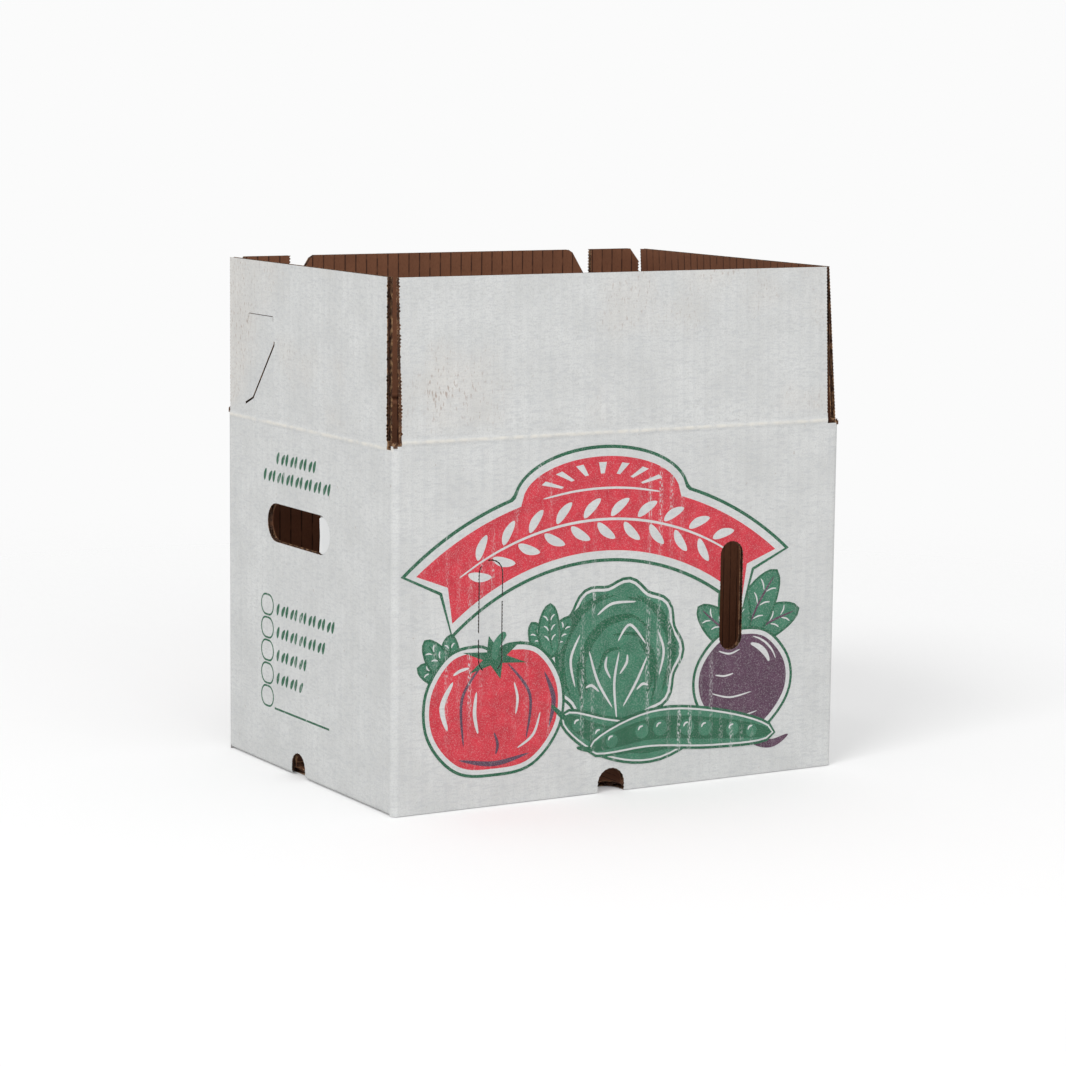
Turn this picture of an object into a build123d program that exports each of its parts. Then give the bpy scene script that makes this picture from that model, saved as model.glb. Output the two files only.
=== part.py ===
"""Produce box: one die-cut sheet of corrugated board, folded up, with its bottom glued and four open top flaps."""
import math
import os

from build123d import *

# Carton, outside
BOX_LENGTH = 330.0
BOX_WIDTH = 238.0
CREASE_HEIGHT = 231.0  # floor to the crease of the two long top flaps
FLAP_HEIGHT = 100.0  # that crease to the top edge of the sheet
BOARD = 3.8  # C-flute board
CORNER_RADIUS = 4.5  # outside of an upright fold
INNER_RADIUS = 0.9  # inside of the same fold
BOTTOM_FOLD_RADIUS = 2.4

# Clearances
CREASE_GAP = 0.3  # between the two bevels of a crushed crease, when a flap is shut
STACK_GAP = 0.2  # between an end flap and the long flap that shuts over it
SIDE_GAP = 0.5  # between a flap's side edge and the upright flap that it passes

# How far each top flap leans in from upright, in degrees
FRONT_LEAN = 2.0
RIGHT_LEAN = 3.0
BACK_LEAN = 0.0
LEFT_LEAN = 0.0

# Side edges of the top flaps: what each is set in from the corner, past what it has to pass
FRONT_LEFT_EXTRA = 0.9  # at the crease, running out to nothing at the top
FRONT_RIGHT_EXTRA = 1.4
LEFT_NEAR_EXTRA = 5.6  # the wide slot at the near corner
BACK_FLAP_OFFSET = 2.6  # the back flap's middle, from the middle of its wall

# Back flap: a V notch near each end leaves an outer locking tab
NOTCH_DEPTH = 25.5
NOTCH_WIDTH = 16.4
NOTCH_OUTER = 117.4  # upright side of the notch, from the middle of the flap
TAB_CHAMFER_WIDTH = 7.6
TAB_CHAMFER_HEIGHT = 9.5

# End flaps: a die-cut slit that takes the back flap's tab, placed from the back corner and from the crease
SLIT_WIDTH = 0.7
SLIT_BACK = 34.0
SLIT_FRONT = 70.0
SLIT_TOP = 69.0
SLIT_KNEE = 51.0
SLIT_FOOT_IN = 40.0
SLIT_FOOT = 14.0
SLIT_END_IN = 28.5
SLIT_END = 9.5
SLIT_LIP = 6.0
SLIT_HOOK = 2.5
SLIT_SLANT = 1.5

# Tall slots in the long walls
SLOT_WIDTH = 17.0
SLOT_HEIGHT = 71.0
SLOT_MIDDLE = 120.2  # floor to the middle of the slot
SLOT_SPREAD = 89.5  # each slot from the middle of the pair
LONG_CUT_SHIFT = -7.7  # the long walls' cuts, from the middle of the wall as seen from outside
KERF = 0.6  # die-cut line round a slug that is still in place
NICK = 3.0  # uncut stretch that holds such a slug

# Hand holes in the end walls, each with its slug pushed in and folded back
HAND_LENGTH = 90.0
HAND_HEIGHT = 25.0
HAND_MIDDLE = 162.4
HAND_END = 16.0  # what is left of the slug beyond its fold, still in line with the wall
END_CUT_SHIFT = -12.0
SLUG_ANGLE = 12.0  # between the folded-back slug and the inside of the wall
SLUG_CLEAR = 0.6  # the slug is this much smaller than its hole

# Round-headed holes across the bottom creases
FOOT_HOLE_WIDTH = 19.3
FOOT_HOLE_HEIGHT = 15.2
FOOT_HOLE_REACH = 15.0  # how far it runs into the bottom flap

# Bottom flaps and the glued lap
BOTTOM_END_INSET = 5.2  # ends of the long bottom flaps, from the end walls' outside
BOTTOM_SIDE_INSET = 6.5  # sides of the end bottom flaps, from the long walls' outside
BOTTOM_END_FLAP = 101.0
SEAM_GAP = 1.2  # between the long bottom flaps where they meet
LAP_WIDTH = 33.0
LAP_TAPER = 14.0
LAP_MARGIN = 6.0  # below the shut end flap, and above the bottom flaps

# Heights that follow
END_CREASE_HEIGHT = CREASE_HEIGHT - BOARD - STACK_GAP
END_FLAP_HEIGHT = CREASE_HEIGHT + FLAP_HEIGHT - END_CREASE_HEIGHT
BOTTOM_THICKNESS = 2 * BOARD


def side_frame(name):
    """A wall's own frame: X to the right as seen from outside, Y into the box, Z up, on the wall's outer face."""
    places = {
        "front": ((0, -BOX_WIDTH / 2, 0), 0),
        "right": ((BOX_LENGTH / 2, 0, 0), 90),
        "back": ((0, BOX_WIDTH / 2, 0), 180),
        "left": ((-BOX_LENGTH / 2, 0, 0), 270),
    }
    place, turn = places[name]
    return Location(place, (0, 0, turn))


def wall_length(name):
    return BOX_LENGTH if name in ("front", "back") else BOX_WIDTH


def crease_height(name):
    return CREASE_HEIGHT if name in ("front", "back") else END_CREASE_HEIGHT


def plate(outline, thickness=BOARD):
    """An upright plate in a wall's frame: outline in X and Z, its outer face at Y = 0."""
    return extrude(Plane.XZ * make_face(Polyline(*outline, close=True)), -thickness)


def upright(sketch, start, depth):
    """A sketch in X and Z, extruded inwards from Y = start by depth."""
    return Pos(0, start, 0) * extrude(Plane.XZ * sketch, -depth)


def stadium(length, height, x, z):
    """A long hole with round ends, lying along X."""
    return Pos(x, z) * SlotOverall(length, height)


def tall_stadium(width, height, x, z):
    return Pos(x, z) * Rot(0, 0, 90) * SlotOverall(height, width)


def tube_of_walls():
    """The four walls, folded round: round outside, tight inside, open at both ends."""
    outside = RectangleRounded(BOX_LENGTH, BOX_WIDTH, CORNER_RADIUS)
    inside = RectangleRounded(BOX_LENGTH - 2 * BOARD, BOX_WIDTH - 2 * BOARD, INNER_RADIUS)
    return extrude(outside - inside, CREASE_HEIGHT)


def crease_cutter(name, length):
    """What a crushed crease takes off the top of a wall: all above a plane that falls inwards at 45 degrees."""
    top = crease_height(name) - CREASE_GAP * math.sqrt(2)
    reach = BOARD + 1
    section = Polyline(
        (-1, top + 1), (reach, top - reach), (reach, CREASE_HEIGHT + 1), (-1, CREASE_HEIGHT + 1), close=True
    )
    return Pos(-length / 2, 0, 0) * extrude(Plane.YZ * make_face(section), length)


def bottom_fold_cutter(length, base):
    """What a bottom fold takes off the foot of a wall: all under its base, and the outer edge rounded."""
    radius = BOTTOM_FOLD_RADIUS
    section = Pos((BOARD - 1) / 2, base - BOARD / 2) * Rectangle(BOARD + 1, BOARD)
    section += Pos((radius - 1) / 2, base + radius / 2) * Rectangle(radius + 1, radius)
    section -= Pos(radius, base + radius) * Circle(radius)
    return Pos(-length / 2, 0, 0) * extrude(Plane.YZ * section, length)


def slug_outline(width, height, x, z):
    """The die-cut line round a slot whose slug is still held by nicks at its sides and foot."""
    ring = tall_stadium(width, height, x, z) - tall_stadium(width - 2 * KERF, height - 2 * KERF, x, z)
    side_nicks = Pos(x, z - height / 6) * Rectangle(width + 2 * KERF, NICK)
    foot_nick = Pos(x, z - height / 2) * Rectangle(width / 2, 4 * KERF)
    crown_nick = Pos(x - width / 4, z + height / 2) * Rectangle(NICK, width / 2)
    return ring - side_nicks - foot_nick - crown_nick


def hand_hole(x):
    """The open part of a hand hole: the hole up to the line where its slug folds in."""
    hole = stadium(HAND_LENGTH, HAND_HEIGHT, x, HAND_MIDDLE)
    kept = Pos(x + HAND_LENGTH / 2, HAND_MIDDLE) * Rectangle(2 * (HAND_END - BOARD), HAND_HEIGHT + 1)
    return hole - kept


def folded_slug(x):
    """The hand hole's slug, turned in round its upright crease and lying back along the inside of the wall."""
    fold_x = x + HAND_LENGTH / 2 - HAND_END + BOARD
    height = HAND_HEIGHT - 2 * SLUG_CLEAR
    reach = HAND_LENGTH - HAND_END - SLUG_CLEAR
    straight = reach - height / 2
    blade = Pos(straight / 2, 0) * Rectangle(straight, height) + Pos(straight, 0) * Circle(height / 2)
    slug = Rot(0, 0, SLUG_ANGLE) * upright(blade, 0, BOARD)
    half_round = Circle(BOARD) - Pos(BOARD, 0) * Rectangle(2 * BOARD, 3 * BOARD)
    knuckle = Pos(0, 0, -height / 2) * extrude(half_round + Rot(0, 0, SLUG_ANGLE) * half_round, height)
    return Pos(fold_x, BOARD, HAND_MIDDLE) * (slug + knuckle)


def foot_hole(x):
    """The hole across a bottom crease: a round head in the wall, and as much again in the bottom flap."""
    radius = FOOT_HOLE_WIDTH / 2
    straight = FOOT_HOLE_HEIGHT - radius
    head = Pos(x, straight / 2 - BOARD) * Rectangle(FOOT_HOLE_WIDTH, straight + 2 * BOARD)
    head += Pos(x, straight) * Circle(radius)
    in_wall = upright(head, -1, BOARD + 1)
    flap_straight = FOOT_HOLE_REACH - radius
    tongue = Pos(x, flap_straight / 2 - 1) * Rectangle(FOOT_HOLE_WIDTH, flap_straight + 2)
    tongue += Pos(x, flap_straight) * Circle(radius)
    return in_wall, tongue


def bottom_long_flap():
    """A long bottom flap, in the front wall's frame, lying on the floor and reaching the middle seam."""
    reach = (BOX_WIDTH - SEAM_GAP) / 2
    length = BOX_LENGTH - 2 * BOTTOM_END_INSET
    sheet = Pos(0, reach / 2) * Rectangle(length, reach)
    sheet -= foot_hole(LONG_CUT_SHIFT)[1]
    return extrude(sheet, BOARD)


def bottom_end_flap():
    """An end bottom flap, in an end wall's frame, glued on top of the long ones."""
    length = BOX_WIDTH - 2 * BOTTOM_SIDE_INSET
    sheet = Pos(0, BOTTOM_END_FLAP / 2) * Rectangle(length, BOTTOM_END_FLAP)
    sheet -= foot_hole(END_CUT_SHIFT)[1]
    return Pos(0, 0, BOARD) * extrude(sheet, BOARD)


def glue_lap():
    """The lap that closes the tube, in the back wall's frame: it lies on the inside of the left wall."""
    low = BOTTOM_THICKNESS + LAP_MARGIN
    high = END_CREASE_HEIGHT - BOARD - LAP_MARGIN
    outline = [(0, low), (LAP_WIDTH, low + LAP_TAPER), (LAP_WIDTH, high - LAP_TAPER), (0, high)]
    lap = plate(outline)
    return Pos(BOX_LENGTH / 2 - BOARD, BOARD, 0) * Rot(0, 0, 90) * lap


def make_carton():
    """Walls, glue lap and glued bottom: all that doesn't move, as the one folded sheet that it is."""
    carton = tube_of_walls()
    for name in ("left", "right"):
        low_cut = Pos(0, -1, CREASE_HEIGHT) * Box(
            BOX_WIDTH - 2 * CORNER_RADIUS, 2 * (BOARD + 1), 2 * (CREASE_HEIGHT - END_CREASE_HEIGHT)
        )
        carton -= side_frame(name) * low_cut
        carton -= side_frame(name) * bottom_fold_cutter(BOX_WIDTH - 2 * CORNER_RADIUS, BOARD)
    for name in ("front", "right", "back", "left"):
        carton -= side_frame(name) * crease_cutter(name, wall_length(name) + 2)
    for name in ("front", "back"):
        carton += side_frame(name) * bottom_long_flap()
        carton -= side_frame(name) * bottom_fold_cutter(BOX_LENGTH + 2, 0)
    for name in ("left", "right"):
        carton += side_frame(name) * bottom_end_flap()
    carton += side_frame("back") * glue_lap()

    for name in ("front", "back"):
        right_slot = LONG_CUT_SHIFT + SLOT_SPREAD
        left_slot = LONG_CUT_SHIFT - SLOT_SPREAD
        cuts = slug_outline(SLOT_WIDTH, SLOT_HEIGHT, left_slot, SLOT_MIDDLE)
        if name == "front":
            cuts += tall_stadium(SLOT_WIDTH, SLOT_HEIGHT, right_slot, SLOT_MIDDLE)
        else:
            cuts += slug_outline(SLOT_WIDTH, SLOT_HEIGHT, right_slot, SLOT_MIDDLE)
        carton -= side_frame(name) * upright(cuts, -1, BOARD + 2)
        carton -= side_frame(name) * foot_hole(LONG_CUT_SHIFT)[0]
    for name in ("left", "right"):
        carton -= side_frame(name) * upright(hand_hole(END_CUT_SHIFT), -1, BOARD + 2)
        carton -= side_frame(name) * foot_hole(END_CUT_SHIFT)[0]
        carton += side_frame(name) * folded_slug(END_CUT_SHIFT)
    return carton


def lean_room(lean, height):
    """How far in a leaning flap's inner face reaches at a height above its crease."""
    return BOARD / math.cos(math.radians(lean)) + height * math.tan(math.radians(lean))


def flap_outline(name, height, insets):
    """A flap seen from outside, on its crease: insets at the left foot, left top, right foot and right top."""
    half = wall_length(name) / 2
    left_foot, left_top, right_foot, right_top = insets
    return [
        (-half + left_foot, 0),
        (half - right_foot, 0),
        (half - right_top, height),
        (-half + left_top, height),
    ]


def stand_flap(name, flap, lean):
    """Bevels a flap's foot for its crease, and stands it on its wall at its lean."""
    length = wall_length(name)
    foot = Polyline((-1, -1), (BOARD + 1, -1), (BOARD + 1, BOARD + 1), close=True)
    flap -= Pos(-length / 2, 0, 0) * extrude(Plane.YZ * make_face(foot), length)
    return side_frame(name) * Pos(0, 0, crease_height(name)) * Rot(-lean, 0, 0) * flap


def make_front_flap():
    passes_left = lean_room(LEFT_LEAN, FLAP_HEIGHT) + SIDE_GAP
    passes_right = lean_room(RIGHT_LEAN, FLAP_HEIGHT) + SIDE_GAP
    foot_right = lean_room(RIGHT_LEAN, 0) + SIDE_GAP + FRONT_RIGHT_EXTRA
    insets = (passes_left + FRONT_LEFT_EXTRA, passes_left, foot_right, passes_right)
    return stand_flap("front", plate(flap_outline("front", FLAP_HEIGHT, insets)), FRONT_LEAN)


def make_back_flap():
    """The back flap, with a V notch near each end and its outer corners cut off."""
    left_room = lean_room(RIGHT_LEAN, FLAP_HEIGHT) + SIDE_GAP
    half = BOX_LENGTH / 2 - left_room + BACK_FLAP_OFFSET
    side = [
        (half, 0),
        (half, FLAP_HEIGHT - TAB_CHAMFER_HEIGHT),
        (half - TAB_CHAMFER_WIDTH, FLAP_HEIGHT),
        (NOTCH_OUTER, FLAP_HEIGHT),
        (NOTCH_OUTER, FLAP_HEIGHT - NOTCH_DEPTH),
        (NOTCH_OUTER - NOTCH_WIDTH, FLAP_HEIGHT),
    ]
    outline = side + [(-x, z) for x, z in reversed(side)]
    outline = [(x + BACK_FLAP_OFFSET, z) for x, z in outline]
    return stand_flap("back", plate(outline), BACK_LEAN)


def slit(side):
    """The locking slit of an end flap, drawn from the flap's back corner, which lies at +X or at -X of its frame."""
    corner = BOX_WIDTH / 2
    points = [
        (corner - SLIT_BACK + SLIT_HOOK, SLIT_TOP - SLIT_LIP),
        (corner - SLIT_BACK, SLIT_TOP),
        (corner - SLIT_FRONT, SLIT_TOP),
        (corner - SLIT_FRONT - SLIT_SLANT, SLIT_KNEE),
        (corner - SLIT_FOOT_IN, SLIT_FOOT),
        (corner - SLIT_END_IN, SLIT_END),
    ]
    line = trace(Polyline(*[(side * x, z) for x, z in points]), SLIT_WIDTH)
    uncut_height = SLIT_TOP - SLIT_KNEE - SLIT_LIP
    uncut_middle = (SLIT_TOP + SLIT_KNEE) / 2
    return line - Pos(side * (corner - SLIT_FRONT), uncut_middle) * Rectangle(6 * SLIT_WIDTH, uncut_height)


def make_left_flap():
    near = lean_room(FRONT_LEAN, END_FLAP_HEIGHT) + SIDE_GAP
    near_foot = lean_room(FRONT_LEAN, 0) + SIDE_GAP + LEFT_NEAR_EXTRA
    back = lean_room(BACK_LEAN, END_FLAP_HEIGHT) + SIDE_GAP
    outline = flap_outline("left", END_FLAP_HEIGHT, (back, back, near_foot, max(near, near_foot)))
    flap = plate(outline) - upright(slit(-1), -1, BOARD + 2)
    return stand_flap("left", flap, LEFT_LEAN)


def make_right_flap():
    near_top = lean_room(FRONT_LEAN, END_FLAP_HEIGHT) + SIDE_GAP
    near_foot = lean_room(FRONT_LEAN, 0) + SIDE_GAP
    back = lean_room(BACK_LEAN, END_FLAP_HEIGHT) + SIDE_GAP
    outline = flap_outline("right", END_FLAP_HEIGHT, (near_foot, near_top, back, back))
    flap = plate(outline) - upright(slit(1), -1, BOARD + 2)
    return stand_flap("right", flap, RIGHT_LEAN)


def main():
    os.makedirs("parts", exist_ok=True)
    nodes = {
        "carton": make_carton(),
        "front_flap": make_front_flap(),
        "back_flap": make_back_flap(),
        "left_flap": make_left_flap(),
        "right_flap": make_right_flap(),
    }
    for name, solid in nodes.items():
        export_step(solid, f"parts/{name}.step")
        box = solid.bounding_box()
        print(name, len(solid.solids()), "solid", round(solid.volume), "mm3", box.min, box.max)


main()
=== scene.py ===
# %% [markdown]
# # A produce box of corrugated board
# The box is one die-cut sheet of C-flute board: two flat papers, called liners, with a waved paper between them.
# The outer liner is bleached white and printed in four inks, the inner one is plain brown kraft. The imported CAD
# model gives the shape and the hinges. Here every wall and flap is built again from its three papers, so that the
# flutes show wherever the sheet is cut, and the creases, the print and the wear are added.

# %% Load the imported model
import math
import random

import bpy
from mathutils import Matrix, Vector


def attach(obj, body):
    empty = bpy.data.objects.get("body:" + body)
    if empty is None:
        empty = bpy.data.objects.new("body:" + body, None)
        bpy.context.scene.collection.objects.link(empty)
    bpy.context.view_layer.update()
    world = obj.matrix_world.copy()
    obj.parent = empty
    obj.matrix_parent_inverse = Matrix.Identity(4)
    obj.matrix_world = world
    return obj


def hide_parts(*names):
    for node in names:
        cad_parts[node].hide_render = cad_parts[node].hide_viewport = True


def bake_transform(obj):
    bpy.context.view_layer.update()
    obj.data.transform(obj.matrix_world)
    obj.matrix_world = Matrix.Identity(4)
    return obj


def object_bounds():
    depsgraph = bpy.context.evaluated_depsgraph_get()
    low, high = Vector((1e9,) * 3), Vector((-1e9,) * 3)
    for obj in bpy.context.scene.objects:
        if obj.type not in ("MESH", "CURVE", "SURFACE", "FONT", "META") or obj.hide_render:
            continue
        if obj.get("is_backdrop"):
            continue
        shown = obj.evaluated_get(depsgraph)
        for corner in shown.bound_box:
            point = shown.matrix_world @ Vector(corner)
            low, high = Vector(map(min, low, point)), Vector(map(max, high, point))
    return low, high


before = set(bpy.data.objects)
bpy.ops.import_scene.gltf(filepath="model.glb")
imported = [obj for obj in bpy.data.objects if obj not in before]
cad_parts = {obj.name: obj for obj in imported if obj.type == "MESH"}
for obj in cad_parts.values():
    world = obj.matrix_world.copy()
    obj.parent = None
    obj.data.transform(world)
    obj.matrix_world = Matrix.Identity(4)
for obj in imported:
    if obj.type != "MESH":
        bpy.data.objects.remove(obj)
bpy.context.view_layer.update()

# %% [markdown]
# ## Sizes
# Lengths are in millimetres times MM, and are the ones that the part was drawn with. A wall is worked on in its
# own frame: x to the right as it is seen from outside, y into the box, z up, with its outer face at y = 0. ACROSS
# is the box's axis that its flutes are counted along.

# %% Sizes of the sheet
MM = 0.001
LENGTH = 330 * MM
WIDTH = 238 * MM
BOARD = 3.8 * MM
LINER = 0.36 * MM
MEDIUM = 0.24 * MM
PITCH = 8.15 * MM
TOOTH = 2.12 * MM
TOOTH_DEPTH = 0.55 * MM
FLAP = 100 * MM
LONG_CREASE = 231 * MM
END_CREASE = 227 * MM
LEANS = {"front": 2.0, "right": 3.0, "back": 0.0, "left": 0.0}
CREASES = {"front": LONG_CREASE, "right": END_CREASE, "back": LONG_CREASE, "left": END_CREASE}
SPANS = {"front": LENGTH, "right": WIDTH, "back": LENGTH, "left": WIDTH}
ACROSS = {"front": "x", "right": "y", "back": "x", "left": "y"}
PLACES = {
    "front": Matrix.Translation((0, -WIDTH / 2, 0)),
    "right": Matrix.Translation((LENGTH / 2, 0, 0)) @ Matrix.Rotation(math.pi / 2, 4, "Z"),
    "back": Matrix.Translation((0, WIDTH / 2, 0)) @ Matrix.Rotation(math.pi, 4, "Z"),
    "left": Matrix.Translation((-LENGTH / 2, 0, 0)) @ Matrix.Rotation(-math.pi / 2, 4, "Z"),
}
LONG_SHIFT = -7.7 * MM  # the die-cut pattern sits this far to one side of a wall's middle
END_SHIFT = -12 * MM

# %% [markdown]
# ## Finishes
# Paper has no single colour. The liners get cloudy mottling, fine fibre and faint ribs where the flutes show
# through, all from noise and cosine waves on object coordinates, so that they stay on the sheet as it moves. A
# small function adds a node and fills its sockets, which keeps each recipe short enough to read.


# %% Node helpers
def node(tree, kind, inputs, **settings):
    made = tree.nodes.new(kind)
    for key, value in settings.items():
        setattr(made, key, value)
    for key, value in inputs.items():
        if isinstance(value, bpy.types.NodeSocket):
            tree.links.new(value, made.inputs[key])
        else:
            made.inputs[key].default_value = value
    return made


def calc(tree, operation, first, second=0.0):
    return node(tree, "ShaderNodeMath", {0: first, 1: second}, operation=operation).outputs[0]


def times(tree, first, second):
    return calc(tree, "MULTIPLY", first, second)


def blend_colour(tree, factor, first, second):
    return node(tree, "ShaderNodeMix", {0: factor, 6: first, 7: second}, data_type="RGBA").outputs[2]


def overlay(tree, tone, factor, strength, colour):
    """One more colour over a tone, where factor is 1."""
    return blend_colour(tree, times(tree, factor, strength), tone, colour)


def band(tree, value, low, high):
    """0 below low, 1 above high."""
    return node(tree, "ShaderNodeMapRange", {"Value": value, "From Min": low, "From Max": high}).outputs[0]


def noise(tree, vector, scale, detail=2.0, stretch=(1, 1, 1)):
    mapped = node(tree, "ShaderNodeMapping", {"Vector": vector, "Scale": stretch}).outputs[0]
    return node(tree, "ShaderNodeTexNoise", {"Vector": mapped, "Scale": scale, "Detail": detail}).outputs[0]


def shade(red, green, blue):
    """A colour as read on a screen, in 0 to 255, as the linear light that a shader takes."""
    return tuple(((v / 255 + 0.055) / 1.055) ** 2.4 for v in (red, green, blue)) + (1,)


# %% [markdown]
# The ribs run up the walls, so their pattern needs the distance across the flutes: x on the long walls and y on the
# end walls. Each paper is therefore made twice, once for each direction.

# %% Coordinates of a sheet
RIB_START = {"x": 2.3 * MM, "y": 0.1 * MM}


def sheet_coordinates(tree, across):
    """The place, a wave that is 1 on each rib, and how far it is above the top crease."""
    vector = node(tree, "ShaderNodeTexCoord", {}).outputs["Object"]
    split = node(tree, "ShaderNodeSeparateXYZ", {0: vector})
    start = calc(tree, "SUBTRACT", split.outputs[0 if across == "x" else 1], RIB_START[across])
    wave = calc(tree, "COSINE", times(tree, start, 2 * math.pi / PITCH))
    above = calc(tree, "SUBTRACT", split.outputs[2], LONG_CREASE if across == "x" else END_CREASE)
    return vector, wave, above


def paper(name, roughness):
    material = bpy.data.materials.new(name)
    material.use_nodes = True
    shader = material.node_tree.nodes["Principled BSDF"]
    shader.inputs["Roughness"].default_value = roughness
    shader.inputs["Specular IOR Level"].default_value = 0.25
    return material, material.node_tree, shader


def emboss(tree, shader, wave, grain, rib_height, grain_height):
    """Ribs that stand up by one height, and paper grain by another."""
    ribs = node(tree, "ShaderNodeBump", {"Height": wave, "Distance": rib_height, "Strength": 1.0})
    fibre = node(tree, "ShaderNodeBump", {"Height": grain, "Distance": grain_height, "Normal": ribs.outputs[0]})
    tree.links.new(fibre.outputs[0], shader.inputs["Normal"])


# %% White outer liner
RIB_HEIGHT, GRAIN_HEIGHT = 0.05 * MM, 0.04 * MM
WHITE, DULL, COOL, GREY = shade(211, 212, 211), shade(191, 192, 190), shade(186, 188, 190), shade(179, 180, 178)
# The cream colour is a painted highlight along the creases.
HIGHLIGHT_CREAM, STAIN, BROWN = shade(226, 221, 210), shade(206, 199, 190), shade(140, 112, 96)


def white_base(tree, vector, wave, above):
    """Bleached liner: clouds, streaks, crinkles and flecks, a pale painted highlight on the creases, scuffs on the
    flaps.
    """
    streaks = noise(tree, vector, 1, 2, (420, 420, 45))
    crinkle = noise(tree, vector, 1, 3, (190, 190, 760))
    fibre = noise(tree, vector, 1100, 4)
    tone = blend_colour(tree, band(tree, noise(tree, vector, 35, 3), 0.3, 0.7), shade(200, 201, 200), WHITE)
    tone = overlay(tree, tone, band(tree, streaks, 0.45, 0.75), 0.12, DULL)
    tone = overlay(tree, tone, band(tree, crinkle, 0.48, 0.68), 0.55, COOL)
    tone = overlay(tree, tone, band(tree, fibre, 0.45, 0.75), 0.6, GREY)
    tone = overlay(tree, tone, band(tree, wave, 0.55, 1.0), 0.16, COOL)
    tone = overlay(tree, tone, band(tree, noise(tree, vector, 330, 5), 0.7, 0.78), 0.4, BROWN)
    on_flap = band(tree, above, 2 * MM, 10 * MM)
    patches = times(tree, band(tree, noise(tree, vector, 14, 2), 0.48, 0.66), on_flap)
    scratches = band(tree, noise(tree, vector, 1, 4, (800, 800, 260)), 0.58, 0.68)
    tone = overlay(tree, tone, patches, 0.3, STAIN)
    tone = overlay(tree, tone, times(tree, patches, scratches), 0.6, BROWN)
    # A painted highlight: a pale cream line along each crease, where its ridge catches the light.
    fold = band(tree, calc(tree, "ABSOLUTE", above), 1.6 * MM, 0.4 * MM)
    broken = band(tree, noise(tree, vector, 160, 2), 0.25, 0.6)
    tone = overlay(tree, tone, times(tree, fold, broken), 0.6, HIGHLIGHT_CREAM)
    grain = calc(tree, "ADD", crinkle, times(tree, fibre, 0.5))
    return tone, grain


def white_liner(across):
    material, tree, shader = paper(f"white_liner_{across}", 0.78)
    vector, wave, above = sheet_coordinates(tree, across)
    tone, grain = white_base(tree, vector, wave, above)
    tree.links.new(tone, shader.inputs["Base Color"])
    emboss(tree, shader, wave, grain, RIB_HEIGHT, GRAIN_HEIGHT)
    return material


# %% Brown inner liner, and the cut edges
def kraft_liner(across):
    material, tree, shader = paper(f"kraft_liner_{across}", 0.85)
    vector, wave, _ = sheet_coordinates(tree, across)
    clouds = noise(tree, vector, 30, 4)
    fibre = noise(tree, vector, 1300, 4, (1, 1, 0.4))
    tone = blend_colour(tree, band(tree, clouds, 0.3, 0.7), shade(116, 76, 55), shade(130, 86, 62))
    tone = overlay(tree, tone, band(tree, fibre, 0.45, 0.8), 0.5, shade(95, 58, 40))
    broken = band(tree, noise(tree, vector, 1, 2, (200, 200, 110)), 0.3, 0.5)
    tone = overlay(tree, tone, times(tree, band(tree, wave, 0.88, 0.98), broken), 0.85, shade(50, 28, 20))
    tree.links.new(tone, shader.inputs["Base Color"])
    emboss(tree, shader, wave, fibre, 0.09 * MM, 0.03 * MM)
    return material


def raw_board(name, *tones):
    """Torn or cut paper: clouds of a dark and a pale tone, with loose fibres."""
    material, tree, shader = paper(name, 0.9)
    vector = node(tree, "ShaderNodeTexCoord", {}).outputs["Object"]
    clouds = noise(tree, vector, 260, 4)
    fuzz = noise(tree, vector, 2600, 3)
    dark, pale = (shade(c, d, e) for c, d, e in tones)
    tone = blend_colour(tree, band(tree, clouds, 0.45, 0.62), dark, pale)
    tone = overlay(tree, tone, band(tree, fuzz, 0.55, 0.75), 0.4, shade(216, 188, 154))
    tree.links.new(tone, shader.inputs["Base Color"])
    bump = node(tree, "ShaderNodeBump", {"Height": fuzz, "Distance": 0.12 * MM})
    tree.links.new(bump.outputs[0], shader.inputs["Normal"])
    return material


FINISH = {
    "cut": raw_board("cut_board", (76, 50, 37), (172, 134, 98)),
    "flute": raw_board("fluting", (60, 38, 29), (96, 62, 44)),
}
for across in ("x", "y"):
    FINISH["white_" + across] = white_liner(across)
    FINISH["kraft_" + across] = kraft_liner(across)
print("paper finishes", sorted(FINISH))

# %% [markdown]
# ## Cutting and joining
# Blender's operators act on what is selected, so the first helpers select one object, place it for good, and cut
# one shape with another. Placing ends with the transform applied: a finished piece sits unturned at the origin.


# %% Selecting, placing and cutting
def only(*objects):
    bpy.ops.object.select_all(action="DESELECT")
    for item in objects:
        item.select_set(True)
    bpy.context.view_layer.objects.active = objects[0]


def settle(item, matrix=Matrix()):
    item.matrix_basis = matrix @ item.matrix_basis
    only(item)
    bpy.ops.object.transform_apply(location=True, rotation=True, scale=True)
    return item


def apply_modifier(item, kind, **settings):
    modifier = item.modifiers.new(kind.lower(), kind)
    for key, value in settings.items():
        setattr(modifier, key, value)
    only(item)
    bpy.ops.object.modifier_apply(modifier=modifier.name)
    return item


def cut(item, tool, operation="DIFFERENCE"):
    return apply_modifier(item, "BOOLEAN", object=tool, operation=operation, solver="EXACT")


def join(name, *items):
    only(*items)
    bpy.ops.object.join()
    items[0].name = name
    return items[0]


def scrap(*items):
    for item in items:
        bpy.data.objects.remove(item)


# %% Blocks and die-cut shapes
def block(name, low, high):
    middle = [(a + b) / 2 for a, b in zip(low, high)]
    bpy.ops.mesh.primitive_cube_add(size=1, location=middle)
    made = bpy.context.object
    made.name = name
    made.scale = [b - a for a, b in zip(low, high)]
    return settle(made)


def carve(items, low, high, place=Matrix()):
    """Cuts a block out of each item."""
    tool = settle(block("tool", low, high), place)
    for item in items:
        cut(item, tool)
    scrap(tool)


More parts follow.
